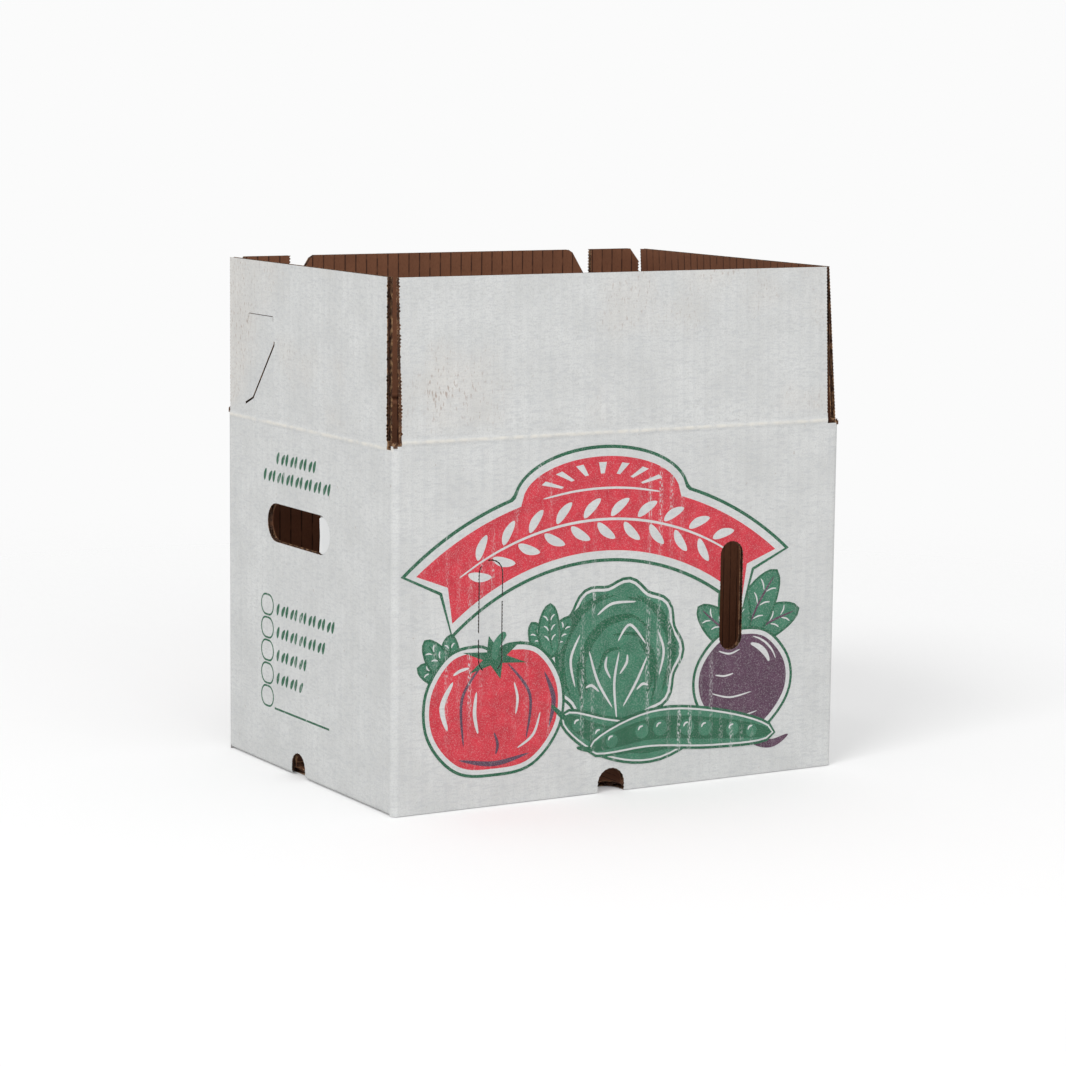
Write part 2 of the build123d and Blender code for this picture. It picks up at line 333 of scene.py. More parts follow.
def thicken(run):
    """Extrudes what is open in Edit Mode, turns its faces outward and goes back to Object Mode."""
    bpy.ops.mesh.select_all(action="SELECT")
    bpy.ops.mesh.extrude_region_move(TRANSFORM_OT_translate={"value": run})
    bpy.ops.mesh.select_all(action="SELECT")
    bpy.ops.mesh.normals_make_consistent(inside=False)
    bpy.ops.object.mode_set(mode="OBJECT")


def die(name, outline, near, far):
    """A round blank whose corners are moved to the outline, in x and z, then extruded from y = near to y = far."""
    bpy.ops.mesh.primitive_circle_add(vertices=len(outline), fill_type="NGON")
    shape = bpy.context.object
    shape.name = name
    for corner, (x, z) in zip(shape.data.vertices, outline):
        corner.co = (x, near, z)
    bpy.ops.object.mode_set(mode="EDIT")
    thicken((0, far - near, 0))
    return shape


# %% [markdown]
# The steel rule that cuts the sheet has teeth, about twelve to the inch, so every die-cut edge is a fine zigzag.
# Only the long straight cuts made by a slitting knife, at the top of the flaps, are smooth.


# %% Toothed cutting line
chance = random.Random(11)


def toothed(corners, rows, depth=TOOTH_DEPTH, torn=()):
    """Adds teeth to the numbered sides of an outline that runs anticlockwise; they bite to its left.

    A side that is also in torn was ripped rather than cut, so its teeth are uneven.
    """
    points = []
    for number, (a, b) in enumerate(zip(corners, corners[1:] + corners[:1])):
        points.append(a)
        if number not in rows:
            continue
        run = Vector(b) - Vector(a)
        left = Vector((-run.y, run.x)).normalized() * depth
        count = max(1, round(run.length / TOOTH))
        for k in range(count):
            bite_depth = chance.uniform(0.1, 2.2) if number in torn else 1
            points.append(tuple(Vector(a) + run * (k + 0.5) / count + left * bite_depth))
            if k < count - 1:
                points.append(tuple(Vector(a) + run * (k + 1) / count))
    return points


def round_end(x, z, radius, start, steps=10):
    """Half a circle of points, anticlockwise from an angle in degrees."""
    turns = [math.radians(start + 180 * k / steps) for k in range(steps + 1)]
    return [(x + radius * math.cos(a), z + radius * math.sin(a)) for a in turns]


def stadium(x, z, width, height):
    """A hole with two round ends, anticlockwise."""
    radius = min(width, height) / 2
    if height > width:
        reach = height / 2 - radius
        return round_end(x, z + reach, radius, 0) + round_end(x, z - reach, radius, 180)
    reach = width / 2 - radius
    return round_end(x + reach, z, radius, -90) + round_end(x - reach, z, radius, 90)


# %% [markdown]
# ## Three papers
# One wave of the middle paper is bent out of a narrow grid, an array repeats it across the sheet, and Solidify
# gives it its thickness. The liners are thin die-cut plates. The same outline cuts all three, so real flute ends show
# at each edge. Faces get their finish by where they point: white outside, brown inside, raw on every cut.


# %% Waved middle paper
def flutes(x_low, x_high, z_low, z_high, start):
    """Flutes that touch the inner liner at start and at each pitch from there."""
    first = start + (math.floor((x_low - start) / PITCH) - 0.5) * PITCH
    count = math.ceil((x_high - first) / PITCH)
    rise = (BOARD - 2 * LINER - MEDIUM) / 2
    bpy.ops.mesh.primitive_grid_add(x_subdivisions=12, y_subdivisions=1, size=1)
    wave = bpy.context.object
    for corner in wave.data.vertices:
        along = corner.co.x + 0.5
        height = z_low if corner.co.y < 0 else z_high
        corner.co = (first + along * PITCH, BOARD / 2 - rise * math.cos(2 * math.pi * along), height)
    apply_modifier(
        wave, "ARRAY", count=count, use_relative_offset=False, use_constant_offset=True,
        constant_offset_displace=(PITCH, 0, 0), use_merge_vertices=True, merge_threshold=0.01 * MM,
    )
    apply_modifier(wave, "SOLIDIFY", thickness=MEDIUM, offset=0)
    return wave


def coat(item, *finishes):
    for finish in finishes:
        item.data.materials.append(FINISH[finish])


def paint(item, wall):
    """White on faces that look out of the wall, kraft on those that look in, raw board on the rest."""
    coat(item, "cut", "white_" + ACROSS[wall], "kraft_" + ACROSS[wall])
    for face in item.data.polygons:
        face.material_index = 0
        if face.normal.y < -0.7 and face.center.y < LINER / 2:
            face.material_index = 1
        elif face.normal.y > 0.7 and face.center.y > BOARD - LINER / 2:
            face.material_index = 2


def rib_phase(wall):
    """Where the ribs start in a wall's own x, so that they line up with the finishes' pattern."""
    start = RIB_START[ACROSS[wall]]
    return -start if wall in ("back", "left") else start


def board(name, wall, outline, holes=(), outer=True):
    """A flat piece of board in its wall's frame."""
    xs, zs = [p[0] for p in outline], [p[1] for p in outline]
    blank = die("blank", outline, 0, BOARD)
    middle = cut(flutes(min(xs), max(xs), min(zs), max(zs), rib_phase(wall)), blank, "INTERSECT")
    layers = [middle, die("inner", outline, BOARD - LINER, BOARD)]
    if outer:
        layers.append(die("outer", outline, 0, LINER))
    for hole in holes:
        punch = die("punch", hole, -1 * MM, BOARD + 1 * MM)
        for layer in layers:
            cut(layer, punch)
        scrap(punch)
    scrap(blank)
    for layer in layers[1:]:
        paint(layer, wall)
    coat(middle, "flute")
    return join(name, *layers)


# %% [markdown]
# ## Top flaps
# Each flap is cut to the outline that the part has, with teeth on its upright sides, and stands on its crease at
# the lean that it has in the photograph. Its lowest few millimetres are left to the crease strip, made further on.

# %% Flap outlines
CREASE_BAND = 4.5 * MM
END_FLAP = LONG_CREASE + FLAP - END_CREASE
GAP = 0.5 * MM


def lean_room(wall, height):
    """How far a wall's leaning flap reaches into the box at a height, board and gap included."""
    lean = math.radians(LEANS[wall])
    return BOARD / math.cos(lean) + height * math.tan(lean) + GAP


def plain_flap(span, height, insets, torn=()):
    """A four-sided flap; its insets from the wall's ends are given at the left foot and top, right foot and top."""
    left_foot, left_top, right_foot, right_top = insets
    half = span / 2
    left_low = left_foot + (left_top - left_foot) * CREASE_BAND / height
    right_low = right_foot + (right_top - right_foot) * CREASE_BAND / height
    corners = [
        (-half + left_low, CREASE_BAND),
        (half - right_low, CREASE_BAND),
        (half - right_top, height),
        (-half + left_top, height),
    ]
    return toothed(corners, {1, 3}, torn=torn)


PAST_BOARD = BOARD + GAP
NEAR_SLOT = lean_room("front", 0) + 5.6 * MM
FRONT_SLOT_FOOT, FRONT_SLOT_TOP = lean_room("right", 0) + 5.4 * MM, lean_room("right", FLAP) + 1.0 * MM
BACK_ROOM, BACK_SHIFT = lean_room("right", FLAP), 2.6 * MM
INSETS = {
    "front": (PAST_BOARD + 0.9 * MM, PAST_BOARD, FRONT_SLOT_FOOT, FRONT_SLOT_TOP),
    "left": (PAST_BOARD, PAST_BOARD, NEAR_SLOT, NEAR_SLOT),
    "right": (lean_room("front", 0), lean_room("front", END_FLAP), PAST_BOARD, PAST_BOARD),
}


def back_outline():
    """The back flap: a V notch near each end, upright on its outer side, and the outer corners cut off."""
    half = LENGTH / 2 - BACK_ROOM + BACK_SHIFT
    outer, foot, width, depth = 117.4 * MM, FLAP - 25.5 * MM, 16.4 * MM, 1.6 * MM
    cut_in, cut_down = 7.6 * MM, 9.5 * MM
    side = [
        (half, CREASE_BAND),
        (half, FLAP - cut_down),
        (half - cut_in, FLAP),
        (outer, FLAP),
        (outer, foot),
        (outer - width + depth, FLAP - depth * 1.2),
        (outer - width - depth, FLAP),
    ]
    corners = side + [(-x, z) for x, z in reversed(side)]
    corners = [(x + BACK_SHIFT, z) for x, z in corners]
    upright = {0, 3, 9, 12}
    return toothed(corners, upright, 1.0 * MM)


def slit(side):
    """Locking slit of an end flap as two thin cuts, in mm from the back corner, which is at +x for side 1."""
    corner = WIDTH / 2
    top = [(31.5, 63), (34, 69), (69.5, 69), (70, 66)]
    foot = [(71.4, 53), (71.5, 51), (40, 14), (28.5, 9.5)]
    cuts = []
    for line, width in ((top, 0.22 * MM), (foot, 0.75 * MM)):
        line = [Vector((side * (corner - x * MM), z * MM)) for x, z in line]
        sides = [[], []]
        for k, point in enumerate(line):
            run = (line[min(k + 1, len(line) - 1)] - line[max(k - 1, 0)]).normalized()
            across = Vector((-run.y, run.x)) * width
            sides[0].append(tuple(point + across))
            sides[1].append(tuple(point - across))
        cuts.append(sides[0] + sides[1][::-1])
    return cuts


# %% Cut the flaps and stand them up
def stand(item, wall):
    tilt = Matrix.Rotation(math.radians(-LEANS[wall]), 4, "X")
    return settle(item, PLACES[wall] @ Matrix.Translation((0, 0, CREASES[wall])) @ tilt)


FLAPS = {
    "front": (plain_flap(LENGTH, FLAP, INSETS["front"], {3}), ()),
    "back": (back_outline(), ()),
    "left": (plain_flap(WIDTH, END_FLAP, INSETS["left"], {1}), slit(-1)),
    "right": (plain_flap(WIDTH, END_FLAP, INSETS["right"]), slit(1)),
}
for wall, (outline, holes) in FLAPS.items():
    flap = stand(board(wall + "_flap_board", wall, outline, holes), wall)
    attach(flap, wall + "_flap")
    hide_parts(wall + "_flap")
    print(flap.name, len(flap.data.polygons), "faces")

# %% [markdown]
# ## Walls
# The two liners of the walls are tubes: a block without its ends, with its upright edges bevelled round and a
# thickness from Solidify. The outer one keeps its bottom, which is the outer liner of the two long bottom flaps,
# folded round at the front and back.

# %% Tubes for the liners
CORNER, INNER_CORNER = 4.5 * MM, 1.26 * MM
FOOT_BEND = 2.4 * MM
LINER_TOP = LONG_CREASE - 2 * MM


def pick(item, kind, test):
    """Edit mode, with only the faces or edges selected whose middle and direction pass the test."""
    only(item)
    bpy.ops.object.mode_set(mode="EDIT")
    bpy.ops.mesh.select_mode(type="FACE" if kind == "faces" else "EDGE")
    bpy.ops.mesh.select_all(action="DESELECT")
    bpy.ops.object.mode_set(mode="OBJECT")
    mesh = item.data
    if kind == "faces":
        for face in mesh.polygons:
            face.select = test(face.center, face.normal)
    else:
        for edge in mesh.edges:
            a, b = (mesh.vertices[v].co for v in edge.vertices)
            edge.select = test((a + b) / 2, (b - a).normalized())
    bpy.ops.object.mode_set(mode="EDIT")


def done():
    bpy.ops.object.mode_set(mode="OBJECT")


def drop_faces(item, test):
    pick(item, "faces", test)
    bpy.ops.mesh.delete(type="FACE")
    done()


def round_edges(item, radius, segments, test):
    pick(item, "edges", test)
    bpy.ops.mesh.bevel(offset=radius, segments=segments)
    done()


def tube(name, half_x, half_y, low, high, radius, segments, bottom=False):
    """A block without its top, and as a rule its bottom, with round upright edges."""
    shell = block(name, (-half_x, -half_y, low), (half_x, half_y, high))
    drop_faces(shell, lambda middle, normal: normal.z > 0.9 or (normal.z < -0.9 and not bottom))
    round_edges(shell, radius, segments, lambda middle, run: abs(run.z) > 0.9)
    return shell


outer = tube("carton_outer_liner", LENGTH / 2, WIDTH / 2, 0, LINER_TOP, CORNER, 6, bottom=True)
round_edges(outer, FOOT_BEND, 4, lambda middle, run: abs(run.x) > 0.9 and middle.z < MM and abs(middle.x) < MM)
apply_modifier(outer, "SOLIDIFY", thickness=LINER, offset=-1)
inside = BOARD - LINER
inner = tube("carton_inner_liner", LENGTH / 2 - inside, WIDTH / 2 - inside, BOARD, LINER_TOP, INNER_CORNER, 3)
apply_modifier(inner, "SOLIDIFY", thickness=LINER, offset=-1)
print("tubes", len(outer.data.polygons), len(inner.data.polygons))

# %% Fluted middle of each wall
FLUTE_FOOT = 1.8 * MM
carton_layers = {"outer": outer, "inner": inner}
for wall in PLACES:
    half = SPANS[wall] / 2 - CORNER
    trim = block("trim", (-half, -MM, FLUTE_FOOT), (half, BOARD + MM, CREASES[wall] - CREASE_BAND))
    waves = cut(flutes(-half, half, 0, LONG_CREASE, rib_phase(wall)), trim, "INTERSECT")
    scrap(trim)
    carton_layers[wall] = settle(waves, PLACES[wall])

# %% Crushed board in the upright corners
def fill_corners(name, low, high):
    """What lies between the liners in the four corners, where the flutes are crushed."""
    fill = tube(name, LENGTH / 2 - LINER, WIDTH / 2 - LINER, low, high, CORNER - LINER, 6)
    apply_modifier(fill, "SOLIDIFY", thickness=BOARD - 2 * LINER, offset=-1)
    for x_reach, y_reach in ((LENGTH, WIDTH / 2 - CORNER), (LENGTH / 2 - CORNER, WIDTH)):
        carve([fill], (-x_reach, -y_reach, -MM), (x_reach, y_reach, LONG_CREASE))
    carton_layers[name] = fill


FEET_TOP = 4 * MM
fill_corners("crushed", FEET_TOP, LINER_TOP - 0.3 * MM)
fill_corners("corner_feet", 0.4 * MM, FEET_TOP)


# %% Glue lap
def lap_outline(corner, width, low, high, taper):
    """The lap's foot lies in the corner, and its free end is tapered."""
    return [(corner, low), (corner + width, low + taper), (corner + width, high - taper), (corner, high)]


lap = board("lap", "left", lap_outline(-WIDTH / 2 + BOARD, 33 * MM, 13.6 * MM, 217.2 * MM, 14 * MM))
carton_layers["lap"] = settle(lap, PLACES["left"] @ Matrix.Translation((0, BOARD, 0)))
print("lap", len(lap.data.polygons), "faces")

# %% [markdown]
# ## Holes
# A punch is made for each hole in its wall's frame, and put in place. The tall slot at the right of the front is
# open, and its twin on the left still holds its slug, so only the thin cutting line round it is punched, broken by
# the nicks that hold it. The bottom creases have round-headed holes that run on into the bottom flaps.

# %% Punches
SLOT_Z, SLOT_SPREAD = 120.2 * MM, 89.5 * MM
SLOT_WIDTH, SLOT_HEIGHT, KNIFE = 17 * MM, 71 * MM, 0.6 * MM
HAND_Z, HAND_LENGTH, HAND_HEIGHT, HAND_END = 162.4 * MM, 90 * MM, 25 * MM, 16 * MM
HOLE_DEPTH = (-1 * MM, BOARD + 1 * MM)
FINE_TOOTH = 0.3 * MM


def place_punch(outline, wall, near=HOLE_DEPTH[0], far=HOLE_DEPTH[1]):
    return settle(die("punch", outline, near, far), PLACES[wall])


def bite(outline, depth=0.4 * MM):
    """Teeth on every side of a hole, pointing away from it into the board."""
    return toothed(outline, set(range(len(outline))), -depth)


def slot_punch(x, wall):
    return [place_punch(bite(stadium(x, SLOT_Z, SLOT_WIDTH, SLOT_HEIGHT)), wall)]


def slug_punch(x, wall):
    """The cutting line round a slug, less the nicks at its sides, crown and foot."""
    line = die("line", bite(stadium(x, SLOT_Z, SLOT_WIDTH, SLOT_HEIGHT)), *HOLE_DEPTH)
    near, far = -2 * MM, BOARD + 2 * MM
    core = die("core", stadium(x, SLOT_Z, SLOT_WIDTH - 2 * KNIFE, SLOT_HEIGHT - 2 * KNIFE), near, far)
    cut(line, core)
    scrap(core)
    nicks = [(-8.5, 0, -14, -10), (0, 8.5, 9, 12), (-4, 4, -37, -33), (-6, -3, 32, 38)]
    for left, right, low, high in nicks:
        foot, head = SLOT_Z + low * MM, SLOT_Z + high * MM
        carve([line], (x + (left - 1) * MM, near, foot), (x + (right + 1) * MM, far, head))
    return [settle(line, PLACES[wall])]


def hand_punch(wall):
    """The open part of a hand hole, up to the rounded fold of its slug, and a nick at each end of the fold."""
    x = END_SHIFT
    radius = HAND_HEIGHT / 2
    fold = x + HAND_LENGTH / 2 - HAND_END + BOARD
    outline = [(fold, HAND_Z - radius), (fold, HAND_Z + radius)]
    outline += round_end(x - HAND_LENGTH / 2 + radius, HAND_Z, radius, 90)
    cuts = [place_punch(bite(outline, FINE_TOOTH), wall)]
    half = 0.4 * MM
    for side in (-1, 1):
        z = HAND_Z + side * (radius - half)
        nick = [(fold - MM, z - half), (fold + 3 * MM, z), (fold - MM, z + half)]
        cuts.append(place_punch(nick, wall))
    return cuts


FOOT_RADIUS = 9.65 * MM
HEAD_Z, TONGUE_Z = 5.55 * MM, -5.35 * MM


def tongue(x):
    """The part of a foot hole that runs into the bottom flap, while the flap still hangs straight down."""
    sides = [(x + FOOT_RADIUS, 1 * MM), (x - FOOT_RADIUS, 1 * MM)]
    return sides + round_end(x, TONGUE_Z, FOOT_RADIUS, 180)


def foot_punch(x, wall, base):
    """The head of the hole in the wall, and its tongue in the liner that is folded under at height base."""
    head = [(x - FOOT_RADIUS, -1 * MM), (x + FOOT_RADIUS, -1 * MM)] + round_end(x, HEAD_Z, FOOT_RADIUS, 0)
    flat = die("punch", tongue(x), base - 0.3 * MM, base + BOARD)
    lie = PLACES[wall] @ Matrix.Rotation(math.pi / 2, 4, "X")
    return [place_punch(bite(head), wall, -1 * MM, BOARD + 0.3 * MM), settle(flat, lie)]


# %% [markdown]
# The bottom is glued, with the end flaps on top of the long ones. Each is a board like the top flaps, turned down
# flat. The crushed fold at the foot of an end wall still sags to the floor, and hides the ends of the long flaps.

# %% Bottom flaps
def lie_down(item, wall, base):
    """Hangs below its wall's foot before this, and is folded in under the box."""
    return settle(item, PLACES[wall] @ Matrix.Translation((0, 0, base)) @ Matrix.Rotation(math.pi / 2, 4, "X"))


def sheet_outline(half, reach):
    """A bottom flap, hanging down from the inner face of its wall."""
    return [(-half, -reach), (half, -reach), (half, -BOARD), (-half, -BOARD)]


SEAM = 0.6 * MM
for wall in ("front", "back"):
    outline = sheet_outline(LENGTH / 2 - 5.2 * MM, WIDTH / 2 - SEAM)
    flap = board(wall + "_bottom_flap", wall, outline, [tongue(LONG_SHIFT)], outer=False)
    carton_layers[wall + "_bottom"] = lie_down(flap, wall, 0)
for wall in ("left", "right"):
    outline = sheet_outline(WIDTH / 2 - 6.5 * MM, 101 * MM)
    flap = board(wall + "_bottom_flap", wall, outline, [tongue(END_SHIFT)])
    carton_layers[wall + "_bottom"] = lie_down(flap, wall, BOARD)

carve([outer], (-LENGTH, -SEAM, -MM), (LENGTH, SEAM, SEAM))
ROUND_END, ROUND_START = 8 * MM, 159.8 * MM
for side in (-1, 1):
    low, high = sorted((side * ROUND_START, side * (LENGTH / 2 + MM)))
    carve([outer], (low, -WIDTH / 2 + CORNER, -MM), (high, WIDTH / 2 - CORNER, ROUND_END))


# %% Rounded foot of the end walls
def end_fold(wall):
    """The outer liner's fold at the foot of an end wall: an outer and an under face, bevelled where they meet."""
    half = WIDTH / 2 - CORNER
    fold = block(wall + "_foot_fold", (-half, 0, 0.3 * MM), (half, BOARD, ROUND_END))
    drop_faces(fold, lambda middle, normal: normal.y > -0.9 and normal.z > -0.9)
    round_edges(fold, FOOT_BEND, 4, lambda middle, run: middle.y < 0.1 * MM and middle.z < 0.4 * MM)
    apply_modifier(fold, "SOLIDIFY", thickness=LINER, offset=-1)
    return settle(fold, PLACES[wall])


for wall in ("left", "right"):
    carton_layers[wall + "_foot_fold"] = end_fold(wall)

# %% Punch the carton
RIGHT_SLOT, LEFT_SLOT = LONG_SHIFT + SLOT_SPREAD, LONG_SHIFT - SLOT_SPREAD
TOOLS = {
    "front": slot_punch(RIGHT_SLOT, "front") + slug_punch(LEFT_SLOT, "front") + foot_punch(LONG_SHIFT, "front", 0),
    "back": slug_punch(RIGHT_SLOT, "back") + slug_punch(LEFT_SLOT, "back") + foot_punch(LONG_SHIFT, "back", 0),
    "left": hand_punch("left") + foot_punch(END_SHIFT, "left", BOARD),
    "right": hand_punch("right") + foot_punch(END_SHIFT, "right", BOARD),
}
for wall, tools in TOOLS.items():
    layers = ["outer", "inner", wall] + ([wall + "_foot_fold"] if wall in ("left", "right") else [])
    for tool in tools:
        for layer in layers:
            cut(carton_layers[layer], tool)

# %% [markdown]
# ## Print
# The sheet is printed in four flat inks before it is cut, the same on opposite walls. Each colour field is a thin
# slab, a few hundredths of a millimetre above the one below it, and the wall's own punches cut it. Ink on board is
# never even: grains of bare paper show through it, most of all in streaks along the flutes, where the plate pressed
# least.

# %% Inks
INK_STEP = 0.013 * MM
COLOURS = {
    "green": shade(38, 98, 70),
    "leaf": shade(64, 122, 96),
    "red": shade(208, 56, 70),
    "purple": shade(92, 64, 84),
}


def ink(name, across):
    material, tree, shader = paper(f"ink_{name}_{across}", 0.7)
    vector, wave, above = sheet_coordinates(tree, across)
    bare, crinkle = white_base(tree, vector, wave, above)
    deep = tuple(part * 0.78 for part in COLOURS[name][:3]) + (1,)
    tone = blend_colour(tree, band(tree, noise(tree, vector, 120, 4), 0.3, 0.7), deep, COLOURS[name])
    grain = times(tree, band(tree, noise(tree, vector, 1700, 3), 0.5, 0.8), 0.4)
    columns = band(tree, noise(tree, vector, 1, 2, (45, 45, 9)), 0.5, 0.64)
    weak = times(tree, band(tree, wave, 0.0, 0.9), columns)
    gaps = band(tree, noise(tree, vector, 1, 3, (1300, 1300, 500)), 0.48, 0.62)
    missing = times(tree, times(tree, weak, gaps), 0.85)
    tone = blend_colour(tree, calc(tree, "MAXIMUM", grain, missing), tone, bare)
    tree.links.new(tone, shader.inputs["Base Color"])
    emboss(tree, shader, wave, crinkle, RIB_HEIGHT, GRAIN_HEIGHT)
    return material


for across in ("x", "y"):
    FINISH["paper_" + across] = FINISH["white_" + across]
    for name in COLOURS:
        FINISH[f"{name}_{across}"] = ink(name, across)

# %% [markdown]
# Shapes are drawn in millimetres in the wall's frame. A curve runs smoothly through a few knots, a stroke is a line
# with pointed ends, and growing an outline gives the even border and contour that the fields have.


# %% Drawn lines
def at(x, z, points, scale=1.0, turn=0.0):
    """Points scaled, turned by an angle in degrees, and moved."""
    c, s = math.cos(math.radians(turn)) * scale, math.sin(math.radians(turn)) * scale
    return [(x + c * a - s * b, z + s * a + c * b) for a, b in points]


def curve(knots, closed=True, steps=7):
    """Points of a smooth line through the knots."""
    points, count = [], len(knots)
    for k in range(count if closed else count - 1):
        turns = [(k + j) % count if closed else min(max(k + j, 0), count - 1) for j in (-1, 0, 1, 2)]
        a, b, c, d = (Vector(knots[turn]) for turn in turns)
        for t in (step / steps for step in range(steps)):
            bent = (2 * a - 5 * b + 4 * c - d) * t**2 + (3 * b - a - 3 * c + d) * t**3
            points.append(tuple((2 * b + (c - a) * t + bent) / 2))
    return points if closed else points + [tuple(knots[-1])]


def stroke(knots, width, blunt=0.5):
    """A line with pointed ends, as wide as width in its middle."""
    spine = [Vector(point) for point in curve(knots, False)]
    right, left = [], []
    for k in range(1, len(spine) - 1):
        run = (spine[k + 1] - spine[k - 1]).normalized()
        reach = Vector((-run.y, run.x)) * width / 2 * math.sin(math.pi * k / (len(spine) - 1)) ** blunt
        right.append(tuple(spine[k] - reach))
        left.append(tuple(spine[k] + reach))
    return [tuple(spine[0])] + right + [tuple(spine[-1])] + left[::-1]


def leaf(length, width, bow=0.0):
    return stroke([(0, 0), (length * 0.45, bow), (length, 0)], width, 0.75)


def grow(line, distance):
    """An outline that runs anticlockwise, moved outward."""
    grown = []
    for k, (x, z) in enumerate(line):
        run = (Vector(line[(k + 1) % len(line)]) - Vector(line[k - 1])).normalized()
        grown.append((x + run.y * distance, z - run.x * distance))
    return grown


# %% Colour fields
def meets(first, second):
    """Whether the boxes round two placed objects overlap."""
    for axis in range(3):
        a, b = ([corner.co[axis] for corner in item.data.vertices] for item in (first, second))
        if max(a) < min(b) or max(b) < min(a):
            return False
    return True


def field(wall, level, name, *outlines):
    """Areas in one ink, apart from each other; an outline inside another is left bare."""
    loops = []
    for outline in outlines:
        bpy.ops.mesh.primitive_circle_add(vertices=len(outline))
        loops.append(bpy.context.object)
        for corner, (x, z) in zip(loops[-1].data.vertices, outline):
            corner.co = PLACES[wall] @ Vector((x * MM, -level * INK_STEP, z * MM))
    slab = join("field", *loops) if len(loops) > 1 else loops[0]
    inward = PLACES[wall].to_3x3() @ Vector((0, level * INK_STEP + 0.1 * MM, 0))
    bpy.ops.object.mode_set(mode="EDIT")
    bpy.ops.mesh.select_all(action="SELECT")
    bpy.ops.mesh.fill()
    thicken(inward)
    coat(slab, f"{name}_{ACROSS[wall]}")
    printed[wall].append(slab)


def badge(wall, level, name, outline, border=2.2, contour=1.9):
    """A field with a bare border and a dark contour, over whatever is printed behind it."""
    field(wall, level, "green", grow(outline, border + contour), grow(outline, border))
    field(wall, level, "paper", grow(outline, border))
    field(wall, level + 1, name, outline)


printed = {wall: [] for wall in PLACES}

# %% [markdown]
# The long walls carry a red ribbon with a white sprig, and below it a cabbage, a tomato, a beet and two pea pods.
# The higher a level, the nearer it is to the viewer; areas that overlap never share one.


# %% Ribbon
def arc(radius, degrees):
    a = math.radians(degrees)
    return -17 + radius * math.sin(a), -13 + radius * math.cos(a)


def ribbon(grown=0.0):
    """An arched band with forked ends and a low dome on its middle."""
    turn = 39.4 + math.degrees(grown / 189)
    turns = [turn * (k / 60 - 1) for k in range(121)]
    top = []
    for degrees in reversed(turns):
        x, z = arc(209 + grown, degrees)
        rise = 1 - ((x + 17) / (58 + grown)) ** 2
        top.append((x, max(z, 190 + (26 + grown) * math.sqrt(max(rise, 0)) - (50 if rise <= 0 else 0))))
    fork = turn - 3.6
    return [arc(169 - grown, degrees) for degrees in turns] + [arc(189, fork)] + top + [arc(189, -fork)]


def ray(degrees):
    """A bar of bare paper that fans out over the dome."""
    ends = [(0.58, -2.4), (0.86, -3.4), (0.86, 3.4), (0.58, 2.4)]
    turns = [(share, math.radians(degrees + spread)) for share, spread in ends]
    return [(-17 + 58 * share * math.cos(a), 190 + 26 * share * math.sin(a)) for share, a in turns]


def draw_ribbon(wall):
    bare = [stroke([arc(189, degrees) for degrees in range(-33, 34, 6)], 1.7, 0.25)]
    bare.append(stroke([arc(208.8, degrees) for degrees in range(-12, 13, 6)], 1.5, 0.25))
    for k, degrees in enumerate(range(-31, 29, 3)):
        side = 1 if k % 2 else -1
        bare.append(at(*arc(189 + 1.9 * side, degrees), leaf(17, 6, side), 1, 40 * side - degrees))
    bare += [ray(degrees) for degrees in range(30, 151, 20)]
    field(wall, 16, "green", ribbon(7.1), ribbon(5))
    field(wall, 16, "paper", ribbon(5))
    field(wall, 17, "red", ribbon(), *bare)


# %% Vegetables
def fan(wall, level, x, z, leaves, rib="green"):
    """Leaves that spread from one point: their turn, length and width."""
    for turn, length, width in leaves:
        blade = at(x, z, leaf(length, width, 2), 1, turn)
        field(wall, level, "green", grow(blade, 1.5))
        field(wall, level + 1, "leaf", blade)
        field(wall, level + 1.5, rib, at(x, z, stroke([(2, 0), (length / 2, 1.6), (length - 3, 0)], 1.5), 1, turn))
        veins = []
        for share in (0.3, 0.5, 0.7):
            for side in (-1, 1):
                vein = [(0, side), (length * 0.07, side * width * 0.16), (length * 0.11, side * width * 0.3)]
                veins.append(at(x, z, stroke(at(length * share, 1.3, vein), 1.0), 1, turn))
        field(wall, level + 2, "paper", *veins)
        level += 3


